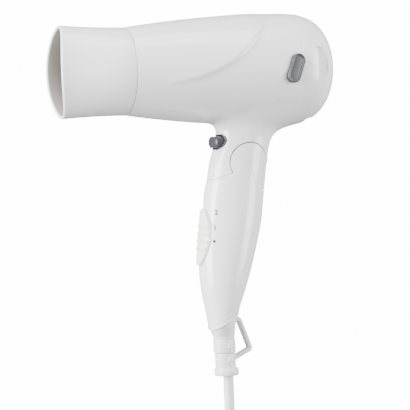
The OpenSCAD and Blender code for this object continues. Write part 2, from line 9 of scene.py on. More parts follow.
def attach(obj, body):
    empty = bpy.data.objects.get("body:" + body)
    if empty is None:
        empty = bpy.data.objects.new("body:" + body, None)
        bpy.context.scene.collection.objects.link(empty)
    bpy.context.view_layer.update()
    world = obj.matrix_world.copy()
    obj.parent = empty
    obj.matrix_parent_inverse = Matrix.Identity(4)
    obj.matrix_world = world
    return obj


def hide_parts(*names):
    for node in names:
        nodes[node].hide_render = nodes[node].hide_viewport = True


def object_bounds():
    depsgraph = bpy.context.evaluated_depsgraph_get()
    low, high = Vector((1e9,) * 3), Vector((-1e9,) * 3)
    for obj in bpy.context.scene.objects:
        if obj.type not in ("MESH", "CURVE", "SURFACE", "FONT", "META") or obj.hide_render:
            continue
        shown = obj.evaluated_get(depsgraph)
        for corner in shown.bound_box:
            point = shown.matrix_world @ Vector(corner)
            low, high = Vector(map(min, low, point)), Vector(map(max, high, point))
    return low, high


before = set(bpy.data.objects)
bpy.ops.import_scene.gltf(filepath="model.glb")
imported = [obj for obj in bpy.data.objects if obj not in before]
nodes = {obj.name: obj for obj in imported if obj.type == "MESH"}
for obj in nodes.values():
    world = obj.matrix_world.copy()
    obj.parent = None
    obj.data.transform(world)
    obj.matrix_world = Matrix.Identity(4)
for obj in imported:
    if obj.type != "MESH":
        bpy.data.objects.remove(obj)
cad_low, cad_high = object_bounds()

MM = 0.001

# ---- design sizes, in millimetres, the same as the CAD's ----------------------------------
AXIS_Z = 116.5
MOUTH_X, MOUTH_R = -70.0, 29.2
WIDEST_X, BARREL_R = 40.5, 38.0
DOME_END, DOME_POWER = 74.8, 2.8
GRILLE_X = 68.5
HINGE_X, HINGE_Z = 11.4, 53.0
KNUCKLE_R = 13.6
TONGUE_HALF = 10.9
TAIL_Z = 34.8
SLOT_Z = 34.5
SEAM_GAP = 0.14
GRIP = [[-62, -8.5, 7.4, 10], [-56, -8.1, 8.8, 11], [-44, -7, 11.8, 13], [-26, -5, 16.6, 15.4],
        [-8, -2.3, 19.5, 16.6], [12, 1.1, 21.4, 17], [27, 3.4, 21.4, 16.6], [43, 6.5, 20.5, 15.9],
        [56, 8.9, 20.2, 15.5], [68, 11.8, 19.8, 15.4]]
NECK = [[30, 3.9, 21.2, 16.5], [43, 6.5, 20.5, 15.9], [56, 8.9, 20.2, 15.5],
        [66, 11.8, 19.4, 15.4], [72, 14.3, 20.3, 15.8], [77, 17, 23.6, 17], [81, 20, 29.5, 19],
        [86, 22, 34, 22], [94, 22, 35, 24]]
HEAD_SEAM = [[57, 170], [51.6, 152], [47.3, 140.6], [44.6, 133.5], [41.6, 125.3], [37.4, 114.6],
             [33.3, 105.2], [28.2, 94.5], [23.6, 88.4], [18.6, 82.6], [14.3, 75.7], [12.6, 69.6],
             [11.5, 62.5], [11.4, 20]]
HANDLE_SEAM = [[11.4, 90], [11.5, 54], [13.5, 43.8], [16.2, 32.5], [18.2, 21], [20.6, 8], [26, -4]]
STOP_END = 13
STOP_EDGE = [[-40, 43], [-14, 43], [-8, 44.2], [-3, 46], [1, 48.2]]
FOOT_POINT, FOOT_TILT, COLLAR_H = (-7.0, -51.5), 26.0, 2.8
CORD_D = 7.0
CORD_X, EXIT_Z = -4.5, -90.0
HANK_TOP, HANK_BEND_R, HANK_RUN, HANK_TURNS = -124.0, 21.0, 130.0, 4
TAIL_Y, PLUG_Z, PLUG_L = 28.0, -321.5, 36.0
BUTTON_Z, BUTTON_HALF_W, BUTTON_HALF_H = 68.0, 8.2, 4.0
NOTCH_X, NOTCH_FLOOR = 54.2, 33.0
SHELL_WALL = 2.0
FAR = 5.0  # a field's value where it cuts nothing
SNAP = 0.03  # a cut this near an edge's end, as a share of the edge, goes through the end
VOXEL = 0.9


def place(name, data):
    """A new object in the scene around that data."""
    obj = bpy.data.objects.new(name, data)
    bpy.context.scene.collection.objects.link(obj)
    return obj


def turn(count):
    """That many angles round a full circle."""
    return np.linspace(0, 2 * np.pi, count, endpoint=False)


def signed_power(value, power):
    return math.copysign(abs(value) ** power, value)


def smooth_rows(rows, steps):
    """Catmull-Rom points through a table of rows."""
    rows = np.array(rows, float)
    out = []
    last = len(rows) - 1
    for i in range(last):
        a, b = rows[max(i - 1, 0)], rows[i]
        c, d = rows[i + 1], rows[min(i + 2, last)]
        for k in range(steps):
            t = k / steps
            out.append(0.5 * (2 * b + t * (c - a) + t * t * (2 * a - 5 * b + 4 * c - d)
                              + t ** 3 * (3 * b - 3 * c + d - a)))
    out.append(rows[last])
    return np.array(out)


GRIP_ROWS = smooth_rows(GRIP, 16)
NECK_ROWS = smooth_rows(NECK, 16)
SEAM_ROWS = smooth_rows(HEAD_SEAM, 10)[::-1]
HANDLE_SEAM_ROWS = smooth_rows(HANDLE_SEAM, 8)[::-1]
STOP_ROWS = smooth_rows(STOP_EDGE, 8)


def section(rows, z):
    """Centre x, half depth and half width of a handle or neck section at height z."""
    return [np.interp(z, rows[:, 0], rows[:, k]) for k in (1, 2, 3)]


def section_ring(rows, z, angles):
    c, hd, hw = section(rows, z)
    return [(c + hd * math.cos(t), hw * math.sin(t), z) for t in angles]


def barrel_ring(x, r, angles):
    return [(x, r * math.sin(t), AXIS_Z + r * math.cos(t)) for t in angles]


def hinge_point(r, a):
    """A point in the side view at radius r and angle a from the hinge's axis."""
    return HINGE_X + r * math.cos(a), HINGE_Z + r * math.sin(a)


def barrel_radius(x):
    t = np.clip((x - MOUTH_X) / (WIDEST_X - MOUTH_X), -0.2, 1)
    cone = MOUTH_R + (BARREL_R - MOUTH_R) * (1 - (1 - t) ** 1.9)
    u = np.clip((x - WIDEST_X) / (DOME_END - WIDEST_X), 0, 1)
    dome = BARREL_R * np.maximum(1 - u ** DOME_POWER, 0) ** (1 / DOME_POWER)
    return np.where(x < WIDEST_X, cone, dome)


# ---- camera -------------------------------------------------------------------------------
CAM_AZIMUTH, CAM_ELEVATION, CAM_ROLL = -20.5, 1.0, 2.2
CAM_DISTANCE, SENSOR = 1.1, 36.0
MM_PER_UNIT = 0.68
HALF_FRAME = 205.0
MARK_POINT, MARK_RIGHT, MARK_UP = (12.0, 0.0, 54.0), 37.9, 43.0


def make_camera():
    a, e, roll = (math.radians(v) for v in (CAM_AZIMUTH, CAM_ELEVATION, CAM_ROLL))
    back = Vector((math.sin(a) * math.cos(e), -math.cos(a) * math.cos(e), math.sin(e)))
    flat = Vector((math.cos(a), math.sin(a), 0))
    tall = back.cross(flat)
    right = flat * math.cos(roll) - tall * math.sin(roll)
    up = tall * math.cos(roll) + flat * math.sin(roll)
    aim = Vector(MARK_POINT) * MM - (right * MARK_RIGHT + up * MARK_UP) * MM_PER_UNIT * MM
    data = bpy.data.cameras.new("camera")
    data.sensor_width = SENSOR
    data.lens = SENSOR * CAM_DISTANCE / (2 * HALF_FRAME * MM_PER_UNIT * MM)
    cam = place("camera", data)
    facing = Matrix((right, up, back)).transposed().to_4x4()
    cam.matrix_world = Matrix.Translation(aim + back * CAM_DISTANCE) @ facing
    bpy.context.scene.camera = cam


make_camera()


# ---- materials ----------------------------------------------------------------------------
def plastic(name, colour, rough, grain, bump, vary, metal=0.0, coat=0.0, subsurface=0.0):
    """A moulded or metal finish: fine grain in the bump, soft variation in roughness and colour."""
    mat = bpy.data.materials.new(name)
    mat.use_nodes = True
    tree = mat.node_tree

    def node(kind, **values):
        made = tree.nodes.new("ShaderNode" + kind)
        for socket, value in values.items():
            made.inputs[socket.replace("_", " ")].default_value = value
        return made

    shader = tree.nodes["Principled BSDF"]
    shader.inputs["Metallic"].default_value = metal
    shader.inputs["Coat Weight"].default_value = coat
    shader.inputs["Coat Roughness"].default_value = 0.06
    if subsurface:
        shader.inputs["Subsurface Weight"].default_value = subsurface
        shader.inputs["Subsurface Radius"].default_value = (0.004, 0.0035, 0.003)
        shader.inputs["Subsurface Scale"].default_value = 0.5
    coords = node("TexCoord")
    cloud = node("TexNoise", Scale=35.0, Detail=4.0)
    fine = node("TexNoise", Scale=grain, Detail=3.0)
    tint = node("MapRange", To_Min=1.0 - vary, To_Max=1.0)
    shade = node("MixRGB", Fac=1.0, Color1=(*colour, 1))
    shade.blend_type = "MULTIPLY"
    gloss = node("MapRange", To_Min=max(rough - 0.05, 0.02), To_Max=rough + 0.07)
    relief = node("Bump", Strength=bump, Distance=0.0005)
    link = tree.links.new
    link(coords.outputs["Object"], cloud.inputs["Vector"])
    link(coords.outputs["Object"], fine.inputs["Vector"])
    link(cloud.outputs["Fac"], tint.inputs["Value"])
    link(tint.outputs["Result"], shade.inputs["Color2"])
    link(shade.outputs["Color"], shader.inputs["Base Color"])
    link(fine.outputs["Fac"], gloss.inputs["Value"])
    link(gloss.outputs["Result"], shader.inputs["Roughness"])
    link(fine.outputs["Fac"], relief.inputs["Height"])
    link(relief.outputs["Normal"], shader.inputs["Normal"])
    return mat


# colour, roughness, grain scale, bump, variation, metal, coat, subsurface
LOOKS = {
    "shell_white": ((0.80, 0.80, 0.815), 0.22, 300, 0.012, 0.015, 0.0, 0.2, 0.05),
    "knob_white": ((0.83, 0.82, 0.79), 0.32, 600, 0.05, 0.03),
    "cord_white": ((0.74, 0.74, 0.745), 0.34, 900, 0.05, 0.04),
    "dark_trim": ((0.055, 0.055, 0.06), 0.28, 900, 0.05, 0.2),
    "trim_face": ((0.085, 0.085, 0.09), 0.33, 900, 0.05, 0.15),
    # painted shade: a darker grey for the nozzle's inner face, in place of the shadow inside it
    "nozzle_painted_shade": ((0.46, 0.44, 0.40), 0.3, 500, 0.03, 0.06),
    "mark_grey": ((0.045, 0.045, 0.05), 0.5, 900, 0.02, 0.1),
    "switch_black": ((0.02, 0.02, 0.022), 0.42, 900, 0.06, 0.2),
    "guide_grey": ((0.3, 0.3, 0.3), 0.45, 700, 0.05, 0.1),
    "steel": ((0.56, 0.56, 0.57), 0.3, 1200, 0.05, 0.1, 1.0),
    "pin_metal": ((0.72, 0.71, 0.68), 0.14, 900, 0.02, 0.05, 1.0),
    "copper_red": ((0.4, 0.03, 0.02), 0.4, 700, 0.05, 0.1),
    "heat_grille": ((0.33, 0.32, 0.30), 0.5, 600, 0.08, 0.15),
    "mica": ((0.42, 0.33, 0.2), 0.5, 250, 0.2, 0.35),
    "coil_wire": ((0.36, 0.3, 0.26), 0.35, 1500, 0.1, 0.3, 1.0),
    "fuse_metal": ((0.6, 0.6, 0.58), 0.3, 900, 0.04, 0.1, 1.0),
    "duct_black": ((0.03, 0.03, 0.032), 0.45, 700, 0.06, 0.2),
    "terminal_brass": ((0.6, 0.42, 0.16), 0.3, 900, 0.04, 0.1, 1.0),
}
MATS = {name: plastic(name, *look) for name, look in LOOKS.items()}


# ---- mesh helpers -------------------------------------------------------------------------
def make_piece(name, bm, material, body, *replaced, sharp=35.0, fix_normals=True):
    """A bmesh, in millimetres, as a smooth-shaded piece of a body that stands for CAD nodes."""
    if fix_normals:
        bmesh.ops.recalc_face_normals(bm, faces=bm.faces)
    mesh = bpy.data.meshes.new(name)
    bm.to_mesh(mesh)
    bm.free()
    mesh.transform(Matrix.Scale(MM, 4))
    mesh.shade_smooth()
    mesh.set_sharp_from_angle(angle=math.radians(sharp))
    mesh.materials.append(MATS[material])
    obj = place(name, mesh)
    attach(obj, body)
    if replaced:
        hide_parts(*replaced)
    return obj


def join_into(target, bm):
    """Adds a bmesh to another one and frees it."""
    mesh = bpy.data.meshes.new("part")
    bm.to_mesh(mesh)
    bm.free()
    target.from_mesh(mesh)
    bpy.data.meshes.remove(mesh)


def grid_mesh(points, close_u=True, close_v=False, cap_ends=False):
    """A bmesh over rows of points; u runs along a row, v from row to row."""
    points = np.asarray(points, float)
    rows, cols = points.shape[:2]
    bm = bmesh.new()
    verts = [[bm.verts.new(points[r, c]) for c in range(cols)] for r in range(rows)]
    for r in range(rows if close_v else rows - 1):
        for c in range(cols if close_u else cols - 1):
            a, b = verts[r][c], verts[r][(c + 1) % cols]
            d, e = verts[(r + 1) % rows][(c + 1) % cols], verts[(r + 1) % rows][c]
            bm.faces.new((a, b, d, e))
    if cap_ends:
        for row in (verts[0], verts[-1]):
            centre = bm.verts.new(sum((v.co for v in row), Vector()) / cols)
            for c in range(cols):
                bm.faces.new((row[c], row[(c + 1) % cols], centre))
    return bm


def coords_of(bm):
    return np.array([v.co for v in bm.verts], float).reshape(-1, 3)


def split_along(bm, field):
    """Cuts the faces along field = 0, keeping all of them."""
    values = field(coords_of(bm))
    for i, v in enumerate(bm.verts):
        v.index = i
    on_line = {}  # not a set, so that its order is the same each run
    crossing = []
    for e in bm.edges:
        a, b = values[e.verts[0].index], values[e.verts[1].index]
        if a * b < 0:
            crossing.append((e, a / (a - b)))
    verts = list(bm.verts)
    for e, t in crossing:
        a, b = e.verts
        if t < SNAP:
            on_line[a] = True
        elif t > 1 - SNAP:
            on_line[b] = True
        else:
            on_line[bmesh.utils.edge_split(e, a, t)[1]] = True
    for i in np.flatnonzero(values == 0):
        on_line[verts[i]] = True
    bmesh.ops.connect_verts(bm, verts=list(on_line))


def keep_where(bm, field):
    """Deletes the faces whose centre has a negative field."""
    centres = np.array([f.calc_center_median() for f in bm.faces], float)
    values = field(centres)
    bmesh.ops.delete(bm, geom=[f for f, v in zip(list(bm.faces), values) if v < 0],
                     context="FACES")


def set_points(bm, points):
    for v, p in zip(bm.verts, points):
        v.co = p


def move_verts(bm, shift):
    """Moves every vertex by shift(points, normals)."""
    bm.normal_update()
    points = coords_of(bm)
    normals = np.array([v.normal for v in bm.verts], float).reshape(-1, 3)
    set_points(bm, points + shift(points, normals))


def add_wall(obj, thickness, offset=-1.0):
    """Gives an open skin its thickness: inwards, or outwards with an offset of 1."""
    mod = obj.modifiers.new("wall", "SOLIDIFY")
    mod.thickness = thickness * MM
    mod.offset = offset


def two_shells(bm, seam, body, names):
    """Parts a skin along its seam, takes the gap away and gives both halves their wall."""
    for edge in (SEAM_GAP / 2, -SEAM_GAP / 2):
        split_along(bm, lambda p: seam(p) - edge)
    behind = bm.copy()
    keep_where(bm, lambda p: -seam(p) - SEAM_GAP / 2)
    keep_where(behind, lambda p: seam(p) - SEAM_GAP / 2)
    for part, (name, node) in zip((bm, behind), names):
        add_wall(make_piece(name, part, "shell_white", body, node), SHELL_WALL)


# ---- cord ---------------------------------------------------------------------------------
def cord_route():
    """Straight down from the boot, four turns of the hank, and down its last run to the plug."""
    low = HANK_TOP - HANK_BEND_R - CORD_D / 2 - HANK_RUN
    high = low + HANK_RUN
    mid = CORD_X + HANK_BEND_R
    points = [(CORD_X, 0.0, z) for z in np.linspace(EXIT_Z, low, 15)]
    y = 0.0
    bends = 8
    for lap in range(HANK_TURNS):
        for side, z0 in ((1, low), (-1, high)):
            for k in range(1, bends + 1):
                a = math.pi * k / bends
                points.append((mid - side * HANK_BEND_R * math.cos(a), y + CORD_D / 2 * k / bends,
                               z0 - side * HANK_BEND_R * math.sin(a)))
            y += CORD_D / 2
            x = mid + side * HANK_BEND_R
            end = z0 + side * HANK_RUN
            if lap == HANK_TURNS - 1 and side < 0:
                end = PLUG_Z
            points += [(x, y, z) for z in np.linspace(z0, end, 8)[1:]]
            if side > 0:
                points.pop()
    return points


def build_cord():
    points = cord_route()
    curve = bpy.data.curves.new("mains_cord", "CURVE")
    curve.dimensions = "3D"
    curve.resolution_u = 6
    curve.bevel_depth = CORD_D / 2 * MM
    curve.bevel_resolution = 6
    curve.use_fill_caps = True
    spline = curve.splines.new("BEZIER")
    spline.bezier_points.add(len(points) - 1)
    for knot, p in zip(spline.bezier_points, points):
        knot.co = Vector(p) * MM
        knot.handle_left_type = knot.handle_right_type = "AUTO"
    obj = place("mains_cord", curve)
    curve.materials.append(MATS["cord_white"])
    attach(obj, "handle")
    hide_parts("cord_lead", "cord_hank", "cord_tail")
    plug = build_plug()
    tie = build_tie()


def build_plug():
    """A moulded two-pin plug: a broad flat body that narrows to a ribbed neck."""
    profile = [(0.0, 15.6, 7.6), (0.25, 16.7, 8.7), (0.9, 17.3, 9.3), (2.0, 17.5, 9.5),
               (7.6, 17.5, 9.5), (8.6, 17.2, 9.3), (9.6, 16.2, 8.9), (12, 14.6, 8.5),
               (15, 12.6, 8.0), (18, 10.4, 7.4), (21, 8.4, 6.8), (24, 6.6, 6.1), (25.6, 5.9, 5.8)]
    for k in range(4):
        z = 26.2 + 2.3 * k
        r = 5.75 - 0.3 * k
        profile += [(z, r, r), (z + 0.9, r - 0.05, r - 0.05), (z + 1.15, r - 0.75, r - 0.75),
                    (z + 1.9, r - 0.8, r - 0.8)]
    profile += [(35.5, 4.5, 4.5), (35.9, 4.2, 4.2), (36.0, 3.55, 3.55)]
    angles = turn(96)
    rows = []
    for z, a, b in profile:
        square = 2.0 + 1.4 * max(0.0, min(1.0, (a - b) / 6.0))
        rows.append([(CORD_X + a * signed_power(math.cos(t), 2 / square),
                      TAIL_Y + b * signed_power(math.sin(t), 2 / square),
                      PLUG_Z - PLUG_L + z) for t in angles])
    bm = grid_mesh(rows, cap_ends=True)
    return make_piece("mains_plug", bm, "cord_white", "handle", "plug_body", sharp=40)


def build_tie():
    """The tie round the middle of the hank: a flat ribbed band."""
    half_x, half_y = HANK_BEND_R + CORD_D / 2 + 0.5, TAIL_Y / 2 + CORD_D / 2 + 0.5
    mid = (CORD_X + HANK_BEND_R, TAIL_Y / 2)
    z0 = (HANK_TOP + HANK_TOP - HANK_RUN - 2 * (HANK_BEND_R + CORD_D / 2)) / 2
    r = 3.6
    outline = []
    for cx, cy, start in ((1, 1, 0), (-1, 1, 90), (-1, -1, 180), (1, -1, 270)):
        for k in range(9):
            a = math.radians(start + 90 * k / 8)
            nx, ny = math.cos(a), math.sin(a)
            outline.append((cx * (half_x - r) + r * nx, cy * (half_y - r) + r * ny, nx, ny))
    rows = []
    for z, out in ((-3.6, 0.0), (-3.6, 0.8), (-3.1, 1.0), (-2.4, 0.75), (-0.6, 0.72), (0, 1.05),
                   (0.6, 0.72), (2.4, 0.75), (3.1, 1.0), (3.6, 0.8), (3.6, 0.0)):
        rows.append([(mid[0] + x + out * nx, mid[1] + y + out * ny, z0 + z)
                     for x, y, nx, ny in outline])
    bm = grid_mesh(rows, close_v=True)
    return make_piece("cord_tie", bm, "switch_black", "handle", "hank_tie", sharp=40)


build_cord()


# ---- shared fields ------------------------------------------------------------------------
def head_seam(p):
    x = np.interp(p[:, 2], SEAM_ROWS[:, 1], SEAM_ROWS[:, 0])
    slope = (np.interp(p[:, 2] + 0.5, SEAM_ROWS[:, 1], SEAM_ROWS[:, 0])
             - np.interp(p[:, 2] - 0.5, SEAM_ROWS[:, 1], SEAM_ROWS[:, 0]))
    return (p[:, 0] - x) / np.sqrt(1 + slope ** 2)


def handle_seam(p):
    x = np.interp(p[:, 2], HANDLE_SEAM_ROWS[:, 1], HANDLE_SEAM_ROWS[:, 0])
    return p[:, 0] - x


def knuckle(p):
    return np.hypot(p[:, 0] - HINGE_X, p[:, 2] - HINGE_Z) - KNUCKLE_R


def stop_height(x):
    return np.interp(x, STOP_ROWS[:, 0], STOP_ROWS[:, 1])


def stop_edge(p):
    return p[:, 2] - stop_height(p[:, 0])


def behind_hinge(p):
    return np.maximum(p[:, 2] - HINGE_Z, HINGE_X - p[:, 0])


def handle_side(p):
    """Negative where the handle is: under the stop edge, in the knuckle, or behind the hinge."""
    under_stop = np.maximum(stop_edge(p), p[:, 0] - HINGE_X)
    return np.minimum(np.minimum(under_stop, knuckle(p)), behind_hinge(p))


def foot_side(p):
    """Positive above the slanting bottom of the handle."""
    tilt = math.radians(FOOT_TILT)
    return (-(p[:, 0] - FOOT_POINT[0]) * math.sin(tilt)
            + (p[:, 2] - FOOT_POINT[1]) * math.cos(tilt))


# ---- side caps ----------------------------------------------------------------------------
CAP_POS, CAP_LEAN, CAP_L, CAP_W = (37.4, 114.6), 20.0, 20.0, 9.4
CAP_FLOOR, CAP_FACE, CAP_GAP = 36.0, 39.6, 0.15


def oblong_distance(p, radius):
    """Signed distance, in the side view, from the leaning oblong of that end radius."""
    lean = math.radians(CAP_LEAN)
    dx, dz = p[:, 0] - CAP_POS[0], p[:, 2] - CAP_POS[1]
    along = dx * math.sin(lean) + dz * math.cos(lean)
    across = dx * math.cos(lean) - dz * math.sin(lean)
    reach = CAP_L / 2 - CAP_W / 2
    return np.hypot(across, np.maximum(np.abs(along) - reach, 0)) - radius


# ---- head skin ----------------------------------------------------------------------------
def neck_field(p):
    c, hd, hw = section(NECK_ROWS, p[:, 2])
    q = np.sqrt(((p[:, 0] - c) / hd) ** 2 + (p[:, 1] / hw) ** 2)
    size = np.minimum(hd, hw)
    return np.where(p[:, 2] > 93.5, 30.0, (q - 1) * size)


def barrel_field(p):
    r = np.hypot(p[:, 1], p[:, 2] - AXIS_Z)
    return r - barrel_radius(p[:, 0])


CREASE_RISE, CREASE_EDGE, CREASE_FALL = 1.5, 0.45, 11.0


def crease(p):
    """A raised styling line along the upper side of the barrel, fading out at both ends."""
    line_x = np.array([-90.0, -55, -29.3, -19.3, -8.9, 2.1, 10.7, 18.4, 27, 60])
    line_z = np.array([101.0, 104.2, 109.4, 113, 118, 125.8, 133.8, 142.2, 153, 190])
    z = np.interp(p[:, 0], line_x, line_z)
    slope = np.interp(p[:, 0], line_x[1:] - np.diff(line_x) / 2, np.diff(line_z) / np.diff(line_x))
    above = (p[:, 2] - z) / np.sqrt(1 + slope ** 2)
    fade = np.clip((p[:, 0] + 58) / 34, 0, 1) * np.clip((30 - p[:, 0]) / 24, 0, 1)
    fade = fade * fade * (3 - 2 * fade)
    step = 1 / (1 + np.exp(-np.clip(above / CREASE_EDGE, -30, 30)))
    return CREASE_RISE * step * np.exp(-np.maximum(above, 0) / CREASE_FALL) * fade


def head_field(p):
    a, b = barrel_field(p), neck_field(p)
    k = np.interp(p[:, 0], [-5, 12, 40], [2.0, 4.0, 9.0])
    h = np.clip(0.5 + 0.5 * (b - a) / k, 0, 1)
    return b * (1 - h) + a * h - k * h * (1 - h) - crease(p)


def project(points, field, steps=7):
    """Moves points onto field = 0 by Newton steps, leaving those far from it."""
    p = points.copy()
    d = 0.05
    for _ in range(steps):
        f = field(p)
        grad = np.stack([(field(p + d * e) - field(p - d * e)) / (2 * d) for e in np.eye(3)], 1)
        step = f[:, None] * grad / np.maximum((grad ** 2).sum(1), 0.2)[:, None]
        size = np.linalg.norm(step, axis=1, keepdims=True)
        step *= np.minimum(1, 0.6 / np.maximum(size, 1e-9))
        step[np.abs(f) > 3.5] = 0
        p -= step
    return p


def remeshed(parts, voxel):
    """One voxel-remeshed bmesh, in millimetres, around several closed meshes."""
    joined = bmesh.new()
    for bm in parts:
        bmesh.ops.recalc_face_normals(bm, faces=bm.faces)
        join_into(joined, bm)
    mesh = bpy.data.meshes.new("joined")
    joined.to_mesh(mesh)
    joined.free()
    obj = place("joined", mesh)
    mod = obj.modifiers.new("voxels", "REMESH")
    mod.mode = "VOXEL"
    mod.voxel_size = voxel
    evaluated = obj.evaluated_get(bpy.context.evaluated_depsgraph_get())
    bm = bmesh.new()
    bm.from_mesh(evaluated.to_mesh())
    bpy.data.objects.remove(obj)
    bpy.data.meshes.remove(mesh)
    return bm


def barrel_blank():
    xs = np.concatenate([[MOUTH_X - 4], np.linspace(MOUTH_X - 3, 71, 100)])
    rows = [barrel_ring(x, r, turn(120)) for x, r in zip(xs, barrel_radius(xs))]
    return grid_mesh(rows, cap_ends=True)


def neck_blank():
    rows = [section_ring(NECK_ROWS, z, turn(96)) for z in np.linspace(30, 93, 80)]
    return grid_mesh(rows, cap_ends=True)


def tail_limits(p):
    return np.minimum(TONGUE_HALF - np.abs(p[:, 1]), p[:, 2] - TAIL_Z)


KNUCKLE_SPACE = 0.62


def head_keep(p):
    """Positive where the head's skin is."""
    under_stop = np.maximum(stop_edge(p), p[:, 0] - HINGE_X) - 2 * SEAM_GAP
    own = np.minimum(np.minimum(under_stop, knuckle(p) - KNUCKLE_SPACE), behind_hinge(p))
    tail = np.minimum(tail_limits(p), p[:, 0] - HINGE_X)
    return np.maximum(own, tail)


NOTCH_L, NOTCH_HALF_W, NOTCH_EDGE = 8.4, 11.9, 0.7
NOTCH_SIDES = ((0, 1), (1, 0), (0, -1), (-1, 0))


def notch_frame(p, side):
    """Distance out towards one of the four notches, and sideways from its middle."""
    y, z = p[:, 1], p[:, 2] - AXIS_Z
    return y * side[0] + z * side[1], np.abs(y * side[1] - z * side[0])


def notch_floor(p):
    """Flat finger notches: how far each point of the shoulder must come in."""
    out = np.zeros_like(p)
    inside = (p[:, 0] > NOTCH_X) & (p[:, 0] < NOTCH_X + NOTCH_L)
    for side in NOTCH_SIDES:
        depth, sideways = notch_frame(p, side)
        wall = np.maximum(np.clip((NOTCH_X + NOTCH_EDGE - p[:, 0]) / NOTCH_EDGE, 0, 1),
                          np.clip((sideways - NOTCH_HALF_W) / NOTCH_EDGE, 0, 1))
        over = np.where(inside, np.maximum(depth - NOTCH_FLOOR - wall * 6, 0), 0)
        out[:, 1] -= over * side[0]
        out[:, 2] -= over * side[1]
    return out


BEZEL_REACH = 1.2


def button_distance(p):
    """Distance, in the front view, outside the hole for the button and its bezel."""
    y = np.maximum(np.abs(p[:, 1]) - (BUTTON_HALF_W - BUTTON_HALF_H), 0)
    away = np.hypot(y, p[:, 2] - BUTTON_Z) - BUTTON_HALF_H - BEZEL_REACH
    return np.where(p[:, 0] < 2, away, FAR)


def cap_hole(p):
    """Distance, in the side view, outside the holes for the two side caps."""
    return np.where(np.abs(p[:, 1]) > 20, oblong_distance(p, CAP_W / 2 + CAP_GAP), FAR)


def build_head():
    bm = remeshed([barrel_blank(), neck_blank()], VOXEL)
    set_points(bm, project(coords_of(bm), head_field))
    bmesh.ops.smooth_vert(bm, verts=bm.verts, factor=0.5, use_axis_x=True, use_axis_y=True,
                          use_axis_z=True)
    set_points(bm, project(coords_of(bm), head_field, 3))
    fields = [
        lambda p: p[:, 0] - MOUTH_X,
        lambda p: GRILLE_X - p[:, 0],
        lambda p: np.where(p[:, 0] < STOP_END, stop_edge(p) - 2 * SEAM_GAP, FAR),
        lambda p: knuckle(p) - KNUCKLE_SPACE,
        lambda p: np.where(p[:, 2] < 70, TONGUE_HALF - np.abs(p[:, 1]), FAR),
        lambda p: np.where(p[:, 2] < 60, p[:, 2] - HINGE_Z, FAR),
        lambda p: p[:, 2] - TAIL_Z,
        cap_hole,
        button_distance,
    ]
    for field in fields:
        split_along(bm, field)
    for field in (button_distance,
                  lambda p: np.minimum(p[:, 0] - MOUTH_X, GRILLE_X - p[:, 0]),
                  head_keep, cap_hole):
        keep_where(bm, field)
    for edge in (0, NOTCH_EDGE):
        split_along(bm, lambda p: p[:, 0] - NOTCH_X - edge)
    for side in NOTCH_SIDES:
        def near(p):
            return (p[:, 0] > NOTCH_X - 0.2) & (notch_frame(p, side)[0] > 20)

        split_along(bm, lambda p: np.where(near(p), notch_frame(p, side)[0] - NOTCH_FLOOR, FAR))
        for edge in (NOTCH_HALF_W, NOTCH_HALF_W + NOTCH_EDGE):
            split_along(bm, lambda p: np.where(near(p), edge - notch_frame(p, side)[1], FAR))
    move_verts(bm, lambda p, n: notch_floor(p))
    two_shells(bm, head_seam, "head",
               (("front_casing", "front_housing"), ("rear_casing", "rear_housing")))


build_head()


# ---- nozzle -------------------------------------------------------------------------------
NOZZLE_L, NOZZLE_GAP = 47.8, 0.3
OUTLET_H, OUTLET_W, RIM_R = 31.0, 20.0, 122.0


def nozzle_section(x, inset):
    t = (MOUTH_X - x) / NOZZLE_L
    half_w = MOUTH_R + (OUTLET_W - MOUTH_R) * t * t * (3 - 2 * t)
    half_h = MOUTH_R + (OUTLET_H - MOUTH_R) * t - 0.6 * math.sin(math.pi * t)
    return half_w - inset, half_h - inset


def build_nozzle():
    cols = 192
    angles = turn(cols)

    def row(s, inset):
        """s = 0 at the seam, 1 at the bowed rim."""
        out = []
        for t in angles:
            z = OUTLET_H * math.sin(t)
            rim_x = MOUTH_X - NOZZLE_L - 0.6 + RIM_R - math.sqrt(RIM_R ** 2 - z * z)
            x = MOUTH_X - NOZZLE_GAP + s * (rim_x - MOUTH_X + NOZZLE_GAP)
            w, h = nozzle_section(x, inset)
            out.append((x, -w * math.cos(t), AXIS_Z + h * math.sin(t)))
        return out

    def ring(x, r):
        return [(x, -r * math.cos(t), AXIS_Z + r * math.sin(t)) for t in angles]

    # outer face, rounded rim, inner face, then the spigot that fits into the barrel
    rows = [ring(MOUTH_X - NOZZLE_GAP, MOUTH_R - 0.35), row(0.006, 0.06)]
    rows += [row(s, 0) for s in np.linspace(0.015, 0.985, 56)]
    for k in range(1, 10):
        a = math.pi * k / 10
        rows.append(row(1 - 0.02 + 0.02 * math.sin(a), 1.0 - 1.0 * math.cos(a)))
    shaded_from = len(rows)
    rows += [row(s, SHELL_WALL) for s in np.linspace(0.975, 0.03, 44)]
    rows.append(ring(MOUTH_X - 1.0, 24.6))
    shaded_to = len(rows)
    rows += [ring(MOUTH_X + 8.6, 24.2), ring(MOUTH_X + 9, 24.6), ring(MOUTH_X + 9, 25.5)]
    rows += [ring(MOUTH_X + 8.6, 25.9), ring(MOUTH_X - 0.2, 25.9), ring(MOUTH_X - NOZZLE_GAP, 26.2)]
    bm = grid_mesh(rows, close_v=True)
    mesh = make_piece("concentrator", bm, "shell_white", "nozzle", "nozzle", sharp=50).data
    # The inner face gets the darker grey of painted shade, standing in for the shadow inside the
    # nozzle.
    mesh.materials.append(MATS["nozzle_painted_shade"])
    for i, poly in enumerate(mesh.polygons):
        if shaded_from <= i // cols < shaded_to:
            poly.material_index = 1


build_nozzle()


